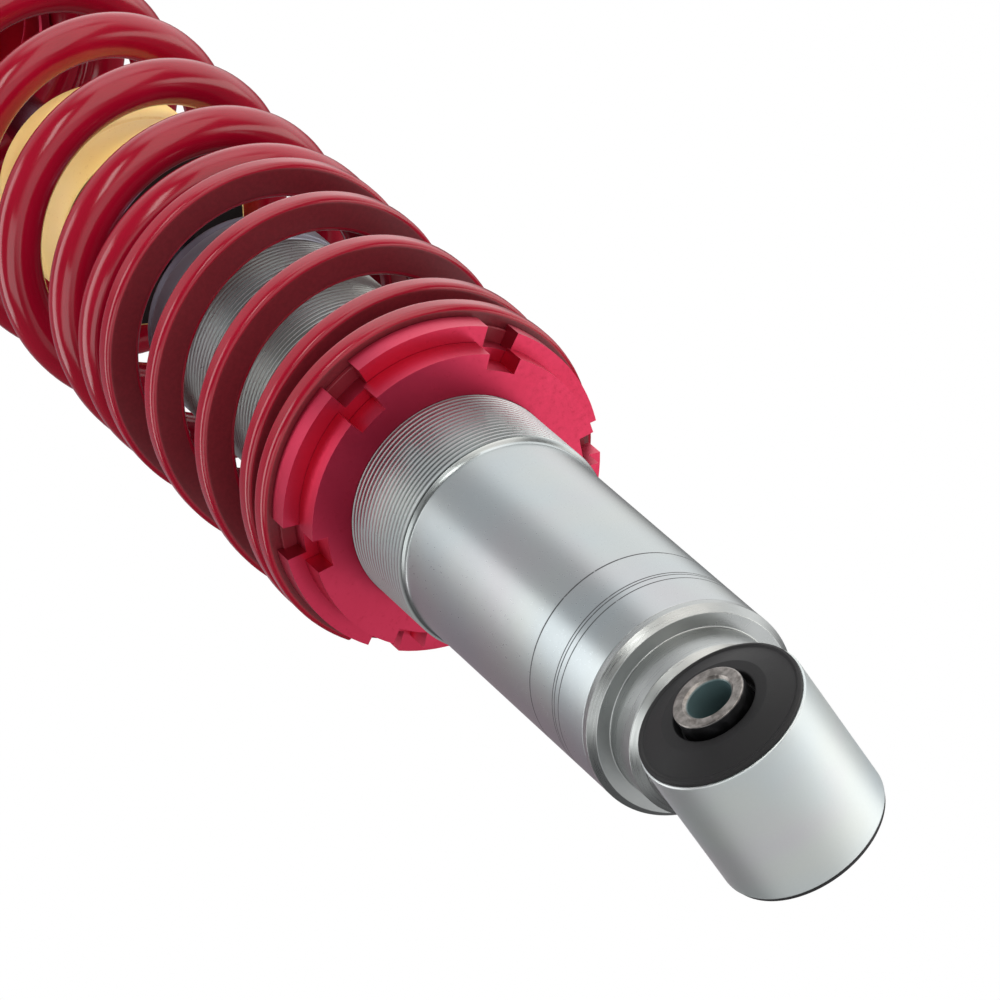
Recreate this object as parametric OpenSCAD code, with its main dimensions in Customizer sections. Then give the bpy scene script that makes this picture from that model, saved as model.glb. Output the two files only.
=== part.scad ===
// Threaded-body coilover: a strut-type damper with a height-adjustable
// spring platform, a flat-wire helper spring and a round-wire main spring.
// Millimetres. The origin is where the lower eye's bolt crosses the damper's
// axis, the bolt runs along Y, and +Z runs up the damper to the top mount.
// Everything is drawn at full droop, which is the damper's longest length.

/* [Lower eye] */
// Outer diameter of the cross tube that holds the rubber bush
eye_d = 40; // [36:0.5:42]
// Length of the cross tube
eye_len = 37.4; // [36:0.2:38]
// How far the middle of the lower eye stands off the damper's axis
eye_shift = -1.2; // [-1.6:0.1:0]
// Wall of the cross tube
eye_wall = 3; // [2:0.5:4]
// Outer diameter of the steel sleeve
sleeve_d = 17; // [16:0.5:20]
// Bore of the steel sleeve, for an M10 bolt
sleeve_bore = 10.5; // [10.1:0.1:12.5]
// Length of the steel sleeve
sleeve_len = 50; // [46:1:60]

/* [Body tube] */
// Major diameter of the body's thread
thread_d = 53; // [50:0.5:56]
// Diameter of the smooth, unthreaded lower part
smooth_d = 50.7; // [48:0.1:51.5]
// Bore of the body tube
tube_bore = 46; // [44:0.5:46.5]
// Height of the tube's lower end above the eye
tube_foot = 36; // [35:0.1:38]
// Height at which the thread starts
thread_start = 125; // [110:1:130]
// Height at which the thread ends
thread_end = 248; // [240:1:252]

/* [Adjuster rings] */
// Outer diameter of the spring platform ring
perch_d = 81; // [78:0.5:83]
// Height of the platform ring's lower face
perch_foot = 156.6; // [150:0.1:165]
// Thickness of the platform ring
perch_t = 5.8; // [5:0.1:7]
// Outer diameter of the lock ring
lock_d = 73; // [70:0.5:75]
// Thickness of the lock ring
lock_t = 7.1; // [6:0.1:9]
// Number of spanner slots in each ring
slot_count = 6; // [4:1:8]
// Width of a spanner slot
slot_w = 8.3; // [6:0.1:9]

/* [Springs] */
// Outer diameter of the helper spring
helper_d = 85.6; // [84:0.1:86]
// Radial width of the helper's flat wire
helper_w = 8.8; // [7.6:0.1:8.9]
// Height of the helper's flat wire
helper_t = 5.5; // [5:0.1:6]
// Length of the helper spring at full droop
helper_len = 99.3; // [95:0.1:105]
// Number of turns of the helper spring
helper_turns = 4.9; // [4.5:0.1:5]
// Wire diameter of the main spring
main_wire = 11.6; // [10.4:0.1:11.8]
// Mean diameter of the main spring
main_mean_d = 74; // [73.8:0.1:75]
// Length of the main spring at full droop
main_len = 200; // [190:1:220]
// Number of turns of the main spring
main_turns = 7; // [6:0.1:7.5]

/* [Rod and travel] */
// Diameter of the piston rod
rod_d = 12.4; // [11:0.1:14]
// Largest diameter of the barrel-shaped bump stop
bump_d = 52.6; // [48:0.1:53]
// Height of the bump stop's upper face
bump_top = 359; // [350:1:360]
// Length of the bump stop
bump_len = 39.4; // [30:0.1:60]
// Damper travel from full droop to full bump
stroke = 100; // [60:5:100]

/* [Top mount] */
// Diameter of the mount plate
plate_d = 100; // [96:1:110]
// Pitch circle diameter of the three studs
stud_pcd = 78; // [74:1:84]
// Thread diameter of the studs
stud_d = 8; // [6:1:8]
// How far the studs stand above the plate
stud_len = 25; // [20:1:35]
// Diameter of the pivot ball
ball_d = 22; // [20:0.5:24]

/* [Hidden] */
$fn = 96;

// Clearances
run_gap = 0.05;         // radial gap of parts that turn or slide on each other
face_gap = 0.1;         // axial gap between faces that turn on each other
press_gap = 0.02;       // diametral gap of parts pressed together
over = 1;               // overshoot of a cutting solid
long = 60;              // a length that cuts right through
edge = 0.5;             // usual bevel of a turned edge

// Nuts and valve holes
hex_d = 17 / cos(30);   // across the corners of a nut 17 across its flats
valve_hole_d = 3;
valve_hole_r = 10;      // radius of the circle that the valve holes lie on
valve_holes = 6;

// Lower eye
eye_bore = eye_d - 2 * eye_wall;
lip_t = 1.2;            // rubber lip over each end of the cross tube
bush_len = eye_len + 2 * lip_t;
lip_gap = 0.4;          // how far the lip stays inside the cross tube's outside
lip_round = 0.6;
bush_rise = 2.4;        // how far the rubber swells out towards the sleeve
gutter_w = 0.8;         // gutter in the rubber round the sleeve
gutter_d = 3.2;
swell_edge = 0.5;       // rounding at the gutter's mouth
lip_w = 1.4;            // flat rim of the rubber outside the swell
bore_chamfer = 0.7;

// Bottom cap, from the eye upwards
boss_d = 41;
boss_foot = 21;         // where the boss starts to widen
boss_chamfer = 2.4;
boss_root = 16;         // where the boss is welded into the cross tube
cap_foot = 32.2;        // lower face of the cap's flange
cap_chamfer = 1.5;
cap_chamfer_h = 2;
plug_top = 42.2;        // upper end of the plug that reaches into the tube

// Body tube
thread_chamfer = 1.15;
gland_foot = thread_end;         // where the gland nut meets the tube
gland_split = 262.5;    // where the gland nut ends and the dust cap begins
gland_top = 268;
gland_d = 52.4;
gland_wipe = 1;         // radial gap between the gland nut and the rod
cap_d = 50.4;
cap_bevel = 1.5;

// Adjuster rings
perch_slot_r = 35.6;
perch_slot_turn = -95;
lock_slot_r = 32.65;
lock_slot_turn = -97.5;
ring_bevel = 0.7;
hub_d = 67.4;
hub_h = 5;
washer_play = 0.4;      // how much wider than the slip washer its groove is
washer_t = 1.2;
washer_lift = 0.3;      // how far the slip washer stands above the platform
washer_in_d = 68;
washer_out_d = 78;
perch_top = perch_foot + perch_t;
lock_foot = perch_foot - face_gap - lock_t;

// Springs. The tip is where both wires start, as an angle round the axis.
helper_foot = perch_top + washer_lift;
junction = helper_foot + helper_len;
main_top = junction + main_len;
wire_tip = 152;
main_grind = 1.2;       // depth ground off each end of the main spring
wire_round = 1.4;       // corner cut of the flat wire
wire_steps = 24;        // sections in one turn
wire_sides = 12;
// Turns over which a wire lies flat, then steepens, then eases off, then lies flat
helper_ease = [0.2, 1.6, 1, 0.1];
main_ease = [0.19, 0.9, 0.9, 0.19];

// Damper internals
inner_d = 36;
inner_bore = 32;
inner_foot = 46;
valve_h = 10;
valve_slot_w = 4;
valve_slot_h = 2;
guide_foot = 232;
guide_plug = 4;         // how far the guide reaches into the pressure tube
guide_wall = 1.5;       // wall of the guide bush
seal_foot = 244;
seal_top = 248;
piston_h = 14;
band_inset = 3;         // the piston band's groove starts this far from each face
band_t = 1.5;
piston_gap = 0.5;       // radial gap between the piston and the pressure tube
shim_t = 1;
shim_d = 24;
shim_small_d = 18;
piston_nut_h = 8;
stop_d = 22;
stop_gap = 0.5;         // between the rebound stop and the guide at full droop
valve_room = 20;        // left between the rod and the base valve at full bump
rod_foot = inner_foot + valve_h + valve_room + stroke;
piston_z = rod_foot + 14;       // lower face of the piston at full droop

// Upper end
isolator_t = 2;
seat_foot = main_top + isolator_t;
seat_t = 6;
seat_d = 84;
seat_hub_d = 61.6;
seat_hub_bore = 55;
seat_hub_h = 10;
seat_groove = [27, 37, 2];      // inner radius, outer radius and depth
seat_top = seat_foot + seat_t;
bump_washer_t = 1.5;
bump_washer_d = 40;
stem_d = 10;            // threaded end of the rod
stem_chamfer = 0.8;
spacer_h = 6;
spacer_d = 14;
ball_half = 9;
ball_z = seat_top + spacer_h + ball_half;
race_d = 32;
race_h = 12;
housing_d = 46;
housing_h = 18;
plate_t = 8;
plate_foot = ball_z - 5;
plate_top = plate_foot + plate_t;
stud_shank_d = stud_d + 0.8;    // knurled part in the plate
stud_head_d = stud_d + 6;
stud_head_h = 1.5;
stud_turn = 90;         // angle of the first stud round the axis
race_lip_h = housing_h / 2 - race_h / 2;
race_lip_d = 26;
circlip_t = 1.4;
circlip_out_d = race_d + 1.6;
circlip_in_d = race_d - 4;
circlip_gap = 6;
top_washer_t = 2;
top_washer_d = 20;
nut_foot = ball_z + ball_half + top_washer_t;
nut_h = 9;
rod_spare = 3;          // how far the rod's thread stands out of its nut
rod_top = nut_foot + nut_h + rod_spare;

// Bump stop
bump_foot = bump_top - bump_len;
bump_barrel = 1.7;      // how much smaller its ends are, in radius
barrel_steps = 24;

// ---------------------------------------------------------------- helpers

// A ring with both rims bevelled
module ring(outer, inner, z0, z1, bevel = 0) {
    rotate_extrude()
        polygon([
            [inner / 2, z0], [outer / 2 - bevel, z0], [outer / 2, z0 + bevel],
            [outer / 2, z1 - bevel], [outer / 2 - bevel, z1], [inner / 2, z1]
        ]);
}

// A round bar with both rims bevelled
module bar(d, z0, z1, bevel = 0) {
    rotate_extrude()
        polygon([
            [0, z0], [d / 2 - bevel, z0], [d / 2, z0 + bevel],
            [d / 2, z1 - bevel], [d / 2 - bevel, z1], [0, z1]
        ]);
}

// A ring or bar drawn along Y about the bolt's axis
module along_y() {
    rotate([-90, 0, 0]) children();
}

// The same, about the middle of the lower eye's length
module at_eye() {
    translate([0, eye_shift, 0]) along_y() children();
}

// Cutters for the spanner slots of a ring
module spanner_slots(floor_r, turn, z0, z1) {
    for (i = [0 : slot_count - 1])
        rotate([0, 0, turn + i * 360 / slot_count])
            translate([floor_r, -slot_w / 2, z0 - over])
                cube([long, slot_w, z1 - z0 + 2 * over]);
}

// Cutters for the oil holes of a valve or piston
module valve_cutters(z0) {
    for (i = [0 : valve_holes - 1])
        rotate([0, 0, i * 360 / valve_holes])
            translate([valve_hole_r, 0, z0 - over]) cylinder(d = valve_hole_d, h = long);
}

// A hexagonal nut with its bore
module nut(z0, h) {
    difference() {
        translate([0, 0, z0]) cylinder(d = hex_d, h = h, $fn = 6);
        translate([0, 0, z0 - over]) cylinder(d = stem_d, h = h + 2 * over);
    }
}

// Height climbed after u turns, in pitches. ease says over how many turns the
// wire lies flat, steepens, eases off and lies flat again.
function climb(u, turns, ease) =
    let (full = turns - ease[0] - ease[3] - ease[1] / 2 - ease[2] / 2,
         last = turns - ease[3])
    u < ease[0] ? 0 :
    u < ease[0] + ease[1] ? pow(u - ease[0], 2) / (2 * ease[1]) :
    u < last - ease[2] ? u - ease[0] - ease[1] / 2 :
    u < last ? full - pow(last - u, 2) / (2 * ease[2]) : full;

// Heights of the two wires' centre lines above their own lower ends
function helper_z(u) =
    let (rise = (helper_len - helper_t) / climb(helper_turns, helper_turns, helper_ease))
    helper_t / 2 + rise * climb(u, helper_turns, helper_ease);
function main_z(u) =
    let (low = main_wire / 2 - main_grind,
         rise = (main_len - 2 * low) / climb(main_turns, main_turns, main_ease))
    low + rise * climb(u, main_turns, main_ease);

// Outlines of the two wires in the radial plane, about the centre line
flat_section = [
    [-helper_w / 2, -helper_t / 2 + wire_round], [-helper_w / 2 + wire_round, -helper_t / 2],
    [helper_w / 2 - wire_round, -helper_t / 2], [helper_w / 2, -helper_t / 2 + wire_round],
    [helper_w / 2, helper_t / 2 - wire_round], [helper_w / 2 - wire_round, helper_t / 2],
    [-helper_w / 2 + wire_round, helper_t / 2], [-helper_w / 2, helper_t / 2 - wire_round]
];
round_section = [
    for (i = [0 : wire_sides - 1])
        let (a = 180 + 360 * (i + 0.5) / wire_sides)
        [main_wire / 2 * cos(a), main_wire / 2 * sin(a)]
];

// A wire wound from rings of section points, one ring at each step, with the
// points held between the heights 0 and top so that the ends are ground flat
module wound_wire(section, mean_r, heights, tip, top) {
    rings = len(heights);
    sides = len(section);
    points = [
        for (k = [0 : rings - 1], p = section)
            let (a = tip + 360 * k / wire_steps,
                 r = mean_r + p[0],
                 z = min(max(heights[k] + p[1], 0), top))
            [r * cos(a), r * sin(a), z]
    ];
    walls = [
        for (k = [0 : rings - 2], i = [0 : sides - 1])
            let (a = k * sides + i,
                 b = k * sides + (i + 1) % sides)
            each [[a, a + sides, b], [b, a + sides, b + sides]]
    ];
    start = [for (i = [0 : sides - 1]) i];
    end = [for (i = [sides - 1 : -1 : 0]) (rings - 1) * sides + i];
    polyhedron(points = points, faces = concat(walls, [start], [end]), convexity = 12);
}

// ---------------------------------------------------------------- lower eye

module eye_housing() {
    color("lightsteelblue")
        difference() {
            at_eye() ring(eye_d, eye_bore, -eye_len / 2, eye_len / 2, edge);
            translate([0, 0, boss_root]) cylinder(d = boss_d - 2 * boss_chamfer, h = long);
        }
}

module eye_bush() {
    swell = bush_len / 2 + bush_rise;
    half = [
        [sleeve_d / 2 + run_gap, swell - gutter_d],
        [sleeve_d / 2 + gutter_w, swell - gutter_d],
        [sleeve_d / 2 + gutter_w + swell_edge, swell],
        [sleeve_d / 2 + gutter_w + 3 * swell_edge, swell],
        [eye_d / 2 - lip_gap - lip_w, bush_len / 2],
        [eye_d / 2 - lip_gap - lip_round, bush_len / 2],
        [eye_d / 2 - lip_gap, bush_len / 2 - lip_round],
        [eye_d / 2 - lip_gap, eye_len / 2],
        [eye_bore / 2, eye_len / 2]
    ];
    color([0.2, 0.2, 0.2])
        at_eye()
            rotate_extrude()
                polygon(concat(half, [for (i = [len(half) - 1 : -1 : 0]) [half[i][0], -half[i][1]]]));
}

module eye_sleeve() {
    half = [
        [sleeve_bore / 2, sleeve_len / 2 - bore_chamfer],
        [sleeve_bore / 2 + bore_chamfer, sleeve_len / 2],
        [sleeve_d / 2 - edge, sleeve_len / 2],
        [sleeve_d / 2, sleeve_len / 2 - edge]
    ];
    color("silver")
        at_eye()
            rotate_extrude()
                polygon(concat(half, [for (i = [len(half) - 1 : -1 : 0]) [half[i][0], -half[i][1]]]));
}

// ---------------------------------------------------------------- body

module bottom_cap() {
    color("gainsboro")
        difference() {
            rotate_extrude()
                polygon([
                    [0, boss_root], [boss_d / 2 - boss_chamfer, boss_root],
                    [boss_d / 2 - boss_chamfer, boss_foot], [boss_d / 2, boss_foot + boss_chamfer],
                    [boss_d / 2, cap_foot], [smooth_d / 2 - cap_chamfer, cap_foot],
                    [smooth_d / 2, cap_foot + cap_chamfer_h], [smooth_d / 2, tube_foot],
                    [tube_bore / 2, tube_foot], [tube_bore / 2, plug_top], [0, plug_top]
                ]);
            along_y() cylinder(d = eye_d, h = long, center = true);
        }
}

module body_tube() {
    color("silver")
        rotate_extrude()
            polygon([
                [tube_bore / 2, tube_foot], [smooth_d / 2, tube_foot],
                [smooth_d / 2, thread_start - thread_chamfer],
                [thread_d / 2, thread_start], [thread_d / 2, thread_end],
                [tube_bore / 2, thread_end]
            ]);
}

module pressure_tube() {
    color("lightgray") ring(inner_d, inner_bore, inner_foot, guide_foot);
}

module base_valve() {
    color("darkgoldenrod")
        difference() {
            union() {
                bar(inner_bore - press_gap, inner_foot, inner_foot + valve_h);
                bar(inner_d, plug_top, inner_foot);
            }
            valve_cutters(plug_top);
            translate([-valve_slot_w / 2, -long / 2, plug_top - over])
                cube([valve_slot_w, long, valve_slot_h + over]);
        }
}

module rod_guide() {
    color("slategray")
        difference() {
            union() {
                bar(inner_bore - press_gap, guide_foot - guide_plug, guide_foot);
                bar(tube_bore - press_gap, guide_foot, seal_foot, edge);
            }
            translate([0, 0, guide_foot - guide_plug - over]) cylinder(d = rod_d + 2 * guide_wall, h = long);
        }
}

module guide_bush() {
    color("sienna")
        ring(rod_d + 2 * guide_wall, rod_d + 2 * run_gap, guide_foot - guide_plug, seal_foot);
}

module rod_seal() {
    color([0.1, 0.1, 0.1])
        ring(tube_bore - press_gap, rod_d + 2 * run_gap, seal_foot, seal_top, edge);
}

module gland_nut() {
    color("slategray")
        rotate_extrude()
            polygon([
                [rod_d / 2 + gland_wipe, seal_top], [(tube_bore - press_gap) / 2, seal_top],
                [(tube_bore - press_gap) / 2, gland_foot], [gland_d / 2 - edge, gland_foot],
                [gland_d / 2, gland_foot + edge], [gland_d / 2, gland_split],
                [rod_d / 2 + gland_wipe, gland_split]
            ]);
}

module dust_cap() {
    color("dimgray")
        rotate_extrude()
            polygon([
                [rod_d / 2 + run_gap, gland_split], [cap_d / 2, gland_split],
                [cap_d / 2, gland_top - cap_bevel], [cap_d / 2 - cap_bevel, gland_top],
                [rod_d / 2 + 2 * cap_bevel, gland_top], [rod_d / 2 + run_gap, gland_top - cap_bevel]
            ]);
}

// ---------------------------------------------------------------- platform

module lock_ring() {
    color("crimson")
        difference() {
            ring(lock_d, thread_d + 2 * run_gap, lock_foot, lock_foot + lock_t, ring_bevel);
            spanner_slots(lock_slot_r, lock_slot_turn, lock_foot, lock_foot + lock_t);
        }
}

module perch_ring() {
    color("crimson")
        difference() {
            union() {
                ring(perch_d, thread_d + 2 * run_gap, perch_foot, perch_top, ring_bevel);
                ring(hub_d, thread_d + 2 * run_gap, perch_top - over, perch_top + hub_h, ring_bevel);
            }
            spanner_slots(perch_slot_r, perch_slot_turn, perch_foot, perch_top);
            ring(washer_out_d + washer_play, hub_d, helper_foot - washer_t - face_gap, perch_top + over);
        }
}

module slip_washer() {
    color([0.35, 0.03, 0.07])
        ring(washer_out_d, washer_in_d, helper_foot - washer_t, helper_foot);
}

module helper_spring() {
    color("firebrick")
        translate([0, 0, helper_foot])
            wound_wire(flat_section, (helper_d - helper_w) / 2,
                [for (k = [0 : helper_turns * wire_steps]) helper_z(k / wire_steps)],
                wire_tip, helper_len);
}

module main_spring() {
    color("firebrick")
        translate([0, 0, junction])
            wound_wire(round_section, main_mean_d / 2,
                [for (k = [0 : main_turns * wire_steps]) main_z(k / wire_steps)],
                wire_tip, main_len);
}

// ---------------------------------------------------------------- rod

module bump_stop() {
    outline = [
        for (k = [0 : barrel_steps])
            let (u = k / barrel_steps)
            [bump_d / 2 - bump_barrel * pow(2 * u - 1, 4), bump_foot + bump_len * u]
    ];
    color("khaki")
        rotate_extrude()
            polygon(concat(
                [[rod_d / 2 + run_gap, bump_foot]], outline, [[rod_d / 2 + run_gap, bump_top]]
            ));
}

module piston_rod() {
    lower_shoulder = piston_z + piston_h + 2 * shim_t;
    upper_shoulder = seat_foot - bump_washer_t;
    color("gainsboro")
        rotate_extrude()
            polygon([
                [0, rod_foot], [stem_d / 2 - stem_chamfer, rod_foot], [stem_d / 2, rod_foot + stem_chamfer],
                [stem_d / 2, lower_shoulder], [rod_d / 2, lower_shoulder],
                [rod_d / 2, upper_shoulder], [stem_d / 2, upper_shoulder],
                [stem_d / 2, rod_top - stem_chamfer], [stem_d / 2 - stem_chamfer, rod_top], [0, rod_top]
            ]);
}

module piston() {
    color("darkgray")
        difference() {
            bar(inner_bore - 2 * piston_gap, piston_z, piston_z + piston_h, edge);
            translate([0, 0, piston_z - over]) cylinder(d = stem_d, h = long);
            valve_cutters(piston_z);
            ring(inner_bore, inner_bore - 2 * band_t,
                piston_z + band_inset, piston_z + piston_h - band_inset);
        }
}

module piston_band() {
    color("saddlebrown")
        ring(inner_bore - 2 * run_gap, inner_bore - 2 * band_t,
            piston_z + band_inset, piston_z + piston_h - band_inset);
}

module valve_shims() {
    color("lightsteelblue")
        for (z = [piston_z - shim_t, piston_z + piston_h])
            ring(shim_d, stem_d, z, z + shim_t);
    color("lightsteelblue")
        for (z = [piston_z - 2 * shim_t, piston_z + piston_h + shim_t])
            ring(shim_small_d, stem_d, z, z + shim_t);
}

module piston_nut() {
    color("gray") nut(piston_z - 2 * shim_t - piston_nut_h, piston_nut_h);
}

module rebound_stop() {
    color([0.15, 0.15, 0.15])
        ring(stop_d, rod_d, piston_z + piston_h + 2 * shim_t, guide_foot - guide_plug - stop_gap, edge);
}

// ---------------------------------------------------------------- top end

module bump_washer() {
    color("silver") ring(bump_washer_d, stem_d, seat_foot - bump_washer_t, seat_foot, edge / 2);
}

module upper_isolator() {
    color([0.15, 0.15, 0.15]) ring(main_mean_d + main_wire, seat_hub_d, main_top, seat_foot, edge);
}

module upper_seat() {
    color("crimson")
        difference() {
            union() {
                ring(seat_d, stem_d, seat_foot, seat_top, ring_bevel);
                ring(seat_hub_d, seat_hub_bore, seat_foot - seat_hub_h, seat_foot + over, ring_bevel);
            }
            ring(2 * seat_groove[1], 2 * seat_groove[0], seat_top - seat_groove[2], seat_top + over);
        }
}

module rod_spacer() {
    color("silver") ring(spacer_d, stem_d, seat_top, seat_top + spacer_h, edge);
}

module pivot_ball() {
    color("silver")
        translate([0, 0, ball_z])
            difference() {
                intersection() {
                    sphere(d = ball_d);
                    cylinder(d = ball_d + over, h = 2 * ball_half, center = true);
                }
                cylinder(d = stem_d, h = long, center = true);
            }
}

module rod_washer() {
    color("silver") ring(top_washer_d, stem_d, nut_foot - top_washer_t, nut_foot, edge / 2);
}

module rod_nut() {
    color("silver") nut(nut_foot, nut_h);
}

module bearing_race() {
    color("lightgray")
        difference() {
            bar(race_d, ball_z - race_h / 2, ball_z + race_h / 2, edge);
            translate([0, 0, ball_z]) sphere(d = ball_d + 2 * run_gap);
        }
}

module race_circlip() {
    color("dimgray")
        difference() {
            ring(circlip_out_d, circlip_in_d, ball_z + race_h / 2, ball_z + race_h / 2 + circlip_t);
            translate([circlip_in_d / 2 - over, -circlip_gap / 2, ball_z])
                cube([race_d, circlip_gap, long]);
        }
}

module mount_plate() {
    color("crimson")
        difference() {
            union() {
                ring(plate_d, race_d, plate_foot, plate_top, edge * 2);
                ring(housing_d, race_d, ball_z - housing_h / 2, ball_z + housing_h / 2, edge * 2);
                ring(housing_d - over, race_lip_d,
                    ball_z - housing_h / 2, ball_z - housing_h / 2 + race_lip_h);
            }
            ring(circlip_out_d, circlip_in_d, ball_z + race_h / 2, ball_z + race_h / 2 + circlip_t);
            for (i = [0 : 2])
                rotate([0, 0, stud_turn + i * 120])
                    translate([stud_pcd / 2, 0, plate_foot - over])
                        cylinder(d = stud_shank_d, h = plate_t + 2 * over);
        }
}

module mount_studs() {
    color("silver")
        for (i = [0 : 2])
            rotate([0, 0, stud_turn + i * 120])
                translate([stud_pcd / 2, 0, 0]) {
                    bar(stud_d, plate_top - over, plate_top + stud_len, stem_chamfer);
                    bar(stud_shank_d, plate_foot - over, plate_top);
                    bar(stud_head_d, plate_foot - stud_head_h, plate_foot, edge);
                }
}

body_tube();
bottom_cap();
eye_housing();
eye_bush();
eye_sleeve();
pressure_tube();
base_valve();
rod_guide();
guide_bush();
rod_seal();
gland_nut();
dust_cap();
lock_ring();
perch_ring();
slip_washer();
helper_spring();
main_spring();
bump_stop();
piston_rod();
piston();
piston_band();
valve_shims();
piston_nut();
rebound_stop();
bump_washer();
upper_seat();
upper_isolator();
rod_spacer();
pivot_ball();
rod_washer();
rod_nut();
bearing_race();
race_circlip();
mount_plate();
mount_studs();
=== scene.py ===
"""Coilover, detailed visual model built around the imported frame. The origin is where the lower eye's
bolt crosses the damper's axis, the bolt runs along Y and +Z runs up the damper. Sizes are in
millimetres unless a comment says otherwise, and the mesh tools turn them into metres."""

import math

import bmesh
import bpy
from mathutils import Matrix, Vector


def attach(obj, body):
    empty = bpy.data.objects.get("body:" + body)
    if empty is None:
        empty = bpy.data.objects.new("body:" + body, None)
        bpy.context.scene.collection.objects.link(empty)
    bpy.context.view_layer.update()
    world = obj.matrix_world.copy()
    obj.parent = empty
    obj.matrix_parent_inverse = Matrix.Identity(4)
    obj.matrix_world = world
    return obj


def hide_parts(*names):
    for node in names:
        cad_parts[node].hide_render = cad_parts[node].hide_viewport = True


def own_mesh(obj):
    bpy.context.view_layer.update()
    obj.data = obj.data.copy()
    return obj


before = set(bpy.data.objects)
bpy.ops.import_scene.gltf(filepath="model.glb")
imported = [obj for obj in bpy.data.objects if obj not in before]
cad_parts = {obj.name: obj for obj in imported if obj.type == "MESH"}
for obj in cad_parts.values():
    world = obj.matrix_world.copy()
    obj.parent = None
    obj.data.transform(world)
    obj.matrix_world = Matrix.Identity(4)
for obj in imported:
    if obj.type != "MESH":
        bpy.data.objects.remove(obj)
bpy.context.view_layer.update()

MM = 0.001
TURN = 2 * math.pi
scene = bpy.context.scene

# ------------------------------------------------------------------ camera

# The camera's three directions, its place in metres and its lens.
CAM_RIGHT = Vector((0.755913, 0.480948, -0.444167))
CAM_UP = Vector((0.646435, -0.655626, 0.390227))
CAM_BACK = Vector((-0.103528, -0.582103, -0.806498))
CAM_PLACE = Vector((-0.175456, -1.025867, -1.282303))
CAM_LENS = 278.436


def from_camera(right, up, back):
    """The world direction that points that far right, up and back towards the main camera."""
    return (CAM_RIGHT * right + CAM_UP * up + CAM_BACK * back).normalized()


camera_data = bpy.data.cameras.new("camera")
camera_data.lens = CAM_LENS
camera_data.sensor_width = 36
camera_data.clip_start, camera_data.clip_end = 0.01, 50
camera = bpy.data.objects.new("camera", camera_data)
scene.collection.objects.link(camera)
camera.location = CAM_PLACE
camera.rotation_mode = "QUATERNION"
camera.rotation_quaternion = Matrix((CAM_RIGHT, CAM_UP, CAM_BACK)).transposed().to_quaternion()
scene.camera = camera

# ------------------------------------------------------------------ mesh tools

# Points closer than the first distance are one point, and edges under the second are dropped, in metres.
DOUBLE, SLIVER = 2e-6, 1e-6

# The steps of a rounded corner, and the most of a side that it takes.
CORNER_STEPS, CORNER_SHARE = 4, 0.49


def finish_mesh(name, verts, faces, sharp=32):
    """An object from points and faces, with doubles merged, normals outward and edges sharp over an angle."""
    mesh = bpy.data.meshes.new(name)
    mesh.from_pydata([tuple(v) for v in verts], [], faces)
    tidy = bmesh.new()
    tidy.from_mesh(mesh)
    bmesh.ops.remove_doubles(tidy, verts=tidy.verts, dist=DOUBLE)
    bmesh.ops.dissolve_degenerate(tidy, edges=tidy.edges, dist=SLIVER)
    bmesh.ops.recalc_face_normals(tidy, faces=tidy.faces)
    tidy.to_mesh(mesh)
    tidy.free()
    mesh.polygons.foreach_set("use_smooth", [True] * len(mesh.polygons))
    mesh.set_sharp_from_angle(angle=math.radians(sharp))
    piece = bpy.data.objects.new(name, mesh)
    scene.collection.objects.link(piece)
    return piece


def bake_modifiers(piece):
    """Replaces the piece's mesh by what its modifiers make of it."""
    bpy.context.view_layer.update()
    graph = bpy.context.evaluated_depsgraph_get()
    mesh = bpy.data.meshes.new_from_object(piece.evaluated_get(graph))
    piece.modifiers.clear()
    piece.data = mesh


def round_corners(outline, closed=True):
    """An outline of (r, z, radius) points with each corner rounded, as (r, z) points."""
    out = []
    count = len(outline)
    for i, (r, z, radius) in enumerate(outline):
        if radius <= 0 or (not closed and i in (0, count - 1)):
            out.append((r, z))
            continue
        here = Vector((r, z))
        before = Vector(outline[i - 1][:2]) - here
        after = Vector(outline[(i + 1) % count][:2]) - here
        angle = before.angle(after)
        most = CORNER_SHARE * min(before.length, after.length)
        reach = min(radius / math.tan(angle / 2), most)
        start = here + before.normalized() * reach
        end = here + after.normalized() * reach
        for k in range(CORNER_STEPS + 1):
            t = k / CORNER_STEPS
            point = start * (1 - t) ** 2 + here * 2 * t * (1 - t) + end * t**2
            out.append((point.x, point.y))
    return out


def skin(rows, segments, closed=True, shift=None):
    """Points and faces of a surface round an axis. A row is an (r, z) pair or gives one for an angle.
    shift says which row a row joins after a full turn, for a thread."""
    shift = shift or {}
    verts, faces = [], []
    total = len(rows)
    for row in rows:
        for s in range(segments):
            angle = TURN * s / segments
            r, z = row(angle) if callable(row) else row
            verts.append((r * MM * math.cos(angle), r * MM * math.sin(angle), z * MM))
    for i in range(total if closed else total - 1):
        j = (i + 1) % total
        for s in range(segments):
            if s < segments - 1:
                a, b = i * segments + s + 1, j * segments + s + 1
            else:
                a, b = shift.get(i, i) * segments, shift.get(j, j) * segments
            faces.append((i * segments + s, a, b, j * segments + s))
    return verts, faces


def lathe(name, outline, segments=160, along="z", sharp=32):
    """A turned solid from its closed outline of (r, z, corner radius) points in mm."""
    verts, faces = skin(round_corners(outline), segments)
    if along == "y":
        verts = [(x, z, y) for x, y, z in verts]
    return finish_mesh(name, verts, faces, sharp)


def shifted(piece, x=0.0, y=0.0):
    """The piece with its mesh moved sideways."""
    piece.data.transform(Matrix.Translation((x * MM, y * MM, 0)))
    return piece


def mirror_outline(half):
    """A half outline and its mirror image about z = 0, as one closed outline."""
    return half + [(r, -z, radius) for r, z, radius in reversed(half)]


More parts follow.
